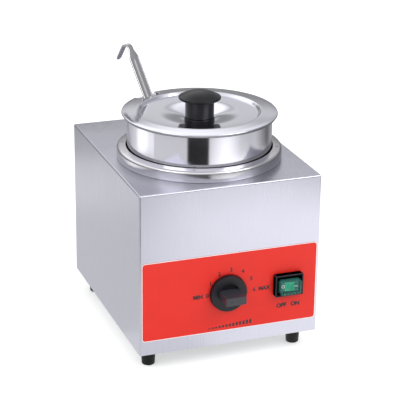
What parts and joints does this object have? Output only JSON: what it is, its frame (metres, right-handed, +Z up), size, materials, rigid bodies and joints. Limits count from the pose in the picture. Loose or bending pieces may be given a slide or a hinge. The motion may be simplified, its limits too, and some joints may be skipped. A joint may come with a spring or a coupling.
{
  "type": "soup kettle",
  "caption": "Countertop electric soup kettle: boxed steel casing with a raised round well, lift-out lidded pot, leaning ladle, turning thermostat knob and sealed rocker switch.",
  "frame": {"origin": "on the table under the centre of the whole outline, midway between the front of the knob's grip and the back of the cable gland", "axes": "+Z up, controls face -Y, +X to the right of a person who faces the controls"},
  "size_m": [0.212, 0.308, 0.3204],
  "materials": {
    "casing_steel": "fine vertical brushed stainless steel",
    "galvanised_steel": "dull galvanised sheet",
    "zinc_fastener": "bright zinc plated",
    "foot_rubber": "smooth matt black",
    "collar_steel": "bright polished stainless steel",
    "well_steel": "satin stainless steel",
    "heater_sheath": "heat-darkened tube",
    "phenolic": "moulded",
    "brass": "plain",
    "copper": "drawn copper",
    "knob_plastic": "fine satin",
    "panel_film": "printed film, red",
    "switch_plastic": "moulded black",
    "rocker_plastic": "green",
    "terminal_nylon": "natural nylon",
    "gland_nylon": "black nylon",
    "wire_brown": "insulation",
    "wire_blue": "insulation",
    "wire_red": "insulation",
    "wire_green": "insulation",
    "pot_steel": "mirror polished stainless steel",
    "lid_steel": "mirror polished stainless steel",
    "lid_knob_plastic": "black phenolic, satin gloss",
    "ladle_steel": "polished stainless steel",
    "boot_silicone": "clear soft silicone cap, tinted green"
  },
  "bodies": {
    "casing": {"casing_shell": "casing_steel", "base_plate": "galvanised_steel", "base_screws": "zinc_fastener", "base_nuts": "zinc_fastener", "foot_front_left": "foot_rubber", "foot_front_right": "foot_rubber", "foot_back_left": "foot_rubber", "foot_back_right": "foot_rubber", "foot_screws": "zinc_fastener", "foot_nuts": "zinc_fastener", "well_collar": "collar_steel", "collar_rivets": "collar_steel", "well_tank": "well_steel", "heating_element": "heater_sheath", "heater_clamp_plate": "galvanised_steel", "heat_shield": "galvanised_steel", "stud_nuts": "zinc_fastener", "thermal_cutout": "phenolic", "cutout_nuts": "zinc_fastener", "thermostat_body": "phenolic", "thermostat_screws": "zinc_fastener", "capillary_bulb": "copper", "bulb_clips": "galvanised_steel", "panel_overlay": "panel_film", "switch_housing": "switch_plastic", "switch_boot": "boot_silicone", "terminal_block": "terminal_nylon", "terminal_screws": "brass", "terminal_block_screws": "zinc_fastener", "earth_screw": "brass", "earth_nuts": "brass", "cable_gland": "gland_nylon", "gland_nut": "gland_nylon", "wire_live_in": "wire_brown", "wire_neutral_in": "wire_blue", "wire_live_switched": "wire_brown", "wire_cutout_feed": "wire_brown", "wire_heater_live": "wire_red", "wire_heater_neutral": "wire_blue", "wire_earth": "wire_green"},
    "dial": {"control_knob": "knob_plastic", "thermostat_shaft": "brass"},
    "rocker": {"switch_rocker": "rocker_plastic"},
    "pot": {"pot": "pot_steel"},
    "lid": {"lid": "lid_steel", "lid_knob": "lid_knob_plastic", "lid_knob_screw": "zinc_fastener"},
    "ladle": {"ladle_handle": "ladle_steel", "ladle_bowl": "ladle_steel"}
  },
  "joints": [
    {"name": "dial_turn", "type": "hinge", "parent": "casing", "child": "dial", "pos_m": [-0.0036, -0.126, 0.0863], "axis": [0, 1, 0], "range_deg": [0, 180]},
    {"name": "rocker_tilt", "type": "hinge", "parent": "casing", "child": "rocker", "pos_m": [0.068, -0.127, 0.0872], "axis": [0, 0, 1], "range_deg": [0, 14]},
    {"name": "pot_lift", "type": "slide", "parent": "casing", "child": "pot", "axis": [0, 0, 1], "range_m": [0, 0.17]},
    {"name": "lid_lift", "type": "slide", "parent": "pot", "child": "lid", "axis": [0, 0, 1], "range_m": [0, 0.11]},
    {"name": "ladle_slide", "type": "slide", "parent": "pot", "child": "ladle", "axis": [-0.2233, 0.42, 0.8796], "range_m": [0, 0.08]}
  ]
}
